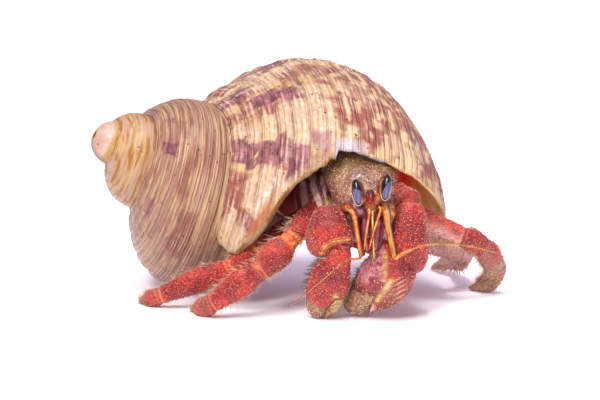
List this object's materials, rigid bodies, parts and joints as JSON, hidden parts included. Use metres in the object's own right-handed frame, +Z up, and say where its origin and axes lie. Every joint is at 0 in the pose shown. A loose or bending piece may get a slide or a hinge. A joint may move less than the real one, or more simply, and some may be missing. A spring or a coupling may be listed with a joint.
{
  "type": "land hermit crab in a turban shell",
  "caption": "Still life-size model of a strawberry land hermit crab walking in a turban shell, with its claws, eyes and feelers out in front.",
  "frame": {"origin": "middle of the footprint, on the floor", "axes": "+Z up, -Y the way the crab faces, +X towards the crab's left side; the spire of the shell points to -X"},
  "size_m": [0.0681, 0.0573, 0.0379],
  "materials": {
    "shell": "worn lime shell with spiral cords, cream and ochre with brown-pink streaks and purple blotches",
    "shield": "shiny tan-brown horny plate with fine pale granules",
    "soft_body": "soft grey-pink to maroon skin with faint stripes",
    "eye": "glossy black above, violet-grey below",
    "antenna": "smooth glossy orange, ringed yellow on the long feelers",
    "limb": "strawberry red horn with rows of pale granules, orange at the joints",
    "limb_tip": "red turning tan-brown, bristly, with dark horny points",
    "mouthpart": "dark red to purple, fringed"
  },
  "bodies": {
    "root": {"shell": "shell", "shield": "shield", "body": "soft_body", "eye_right": "eye", "eyestalk_right": "antenna", "eye_left": "eye", "eyestalk_left": "antenna", "claw_right_merus": "limb", "claw_right_carpus": "limb", "claw_right_palm": "limb", "claw_right_finger": "limb_tip", "claw_left_merus": "limb", "claw_left_carpus": "limb", "claw_left_palm": "limb", "claw_left_finger": "limb_tip", "leg_right_front_merus": "limb", "leg_right_front_carpus": "limb", "leg_right_front_propodus": "limb", "leg_right_front_dactyl": "limb_tip", "leg_right_rear_merus": "limb", "leg_right_rear_carpus": "limb", "leg_right_rear_propodus": "limb", "leg_right_rear_dactyl": "limb_tip", "leg_left_front_merus": "limb", "leg_left_front_carpus": "limb", "leg_left_front_propodus": "limb", "leg_left_front_dactyl": "limb_tip", "leg_left_rear_merus": "limb", "leg_left_rear_carpus": "limb", "leg_left_rear_propodus": "limb", "leg_left_rear_dactyl": "limb_tip", "antennule_right": "antenna", "antenna_right_stalk": "antenna", "antenna_right_feeler": "antenna", "maxilliped_right": "mouthpart", "antennule_left": "antenna", "antenna_left_stalk": "antenna", "antenna_left_feeler": "antenna", "maxilliped_left": "mouthpart"}
  },
  "joints": []
}
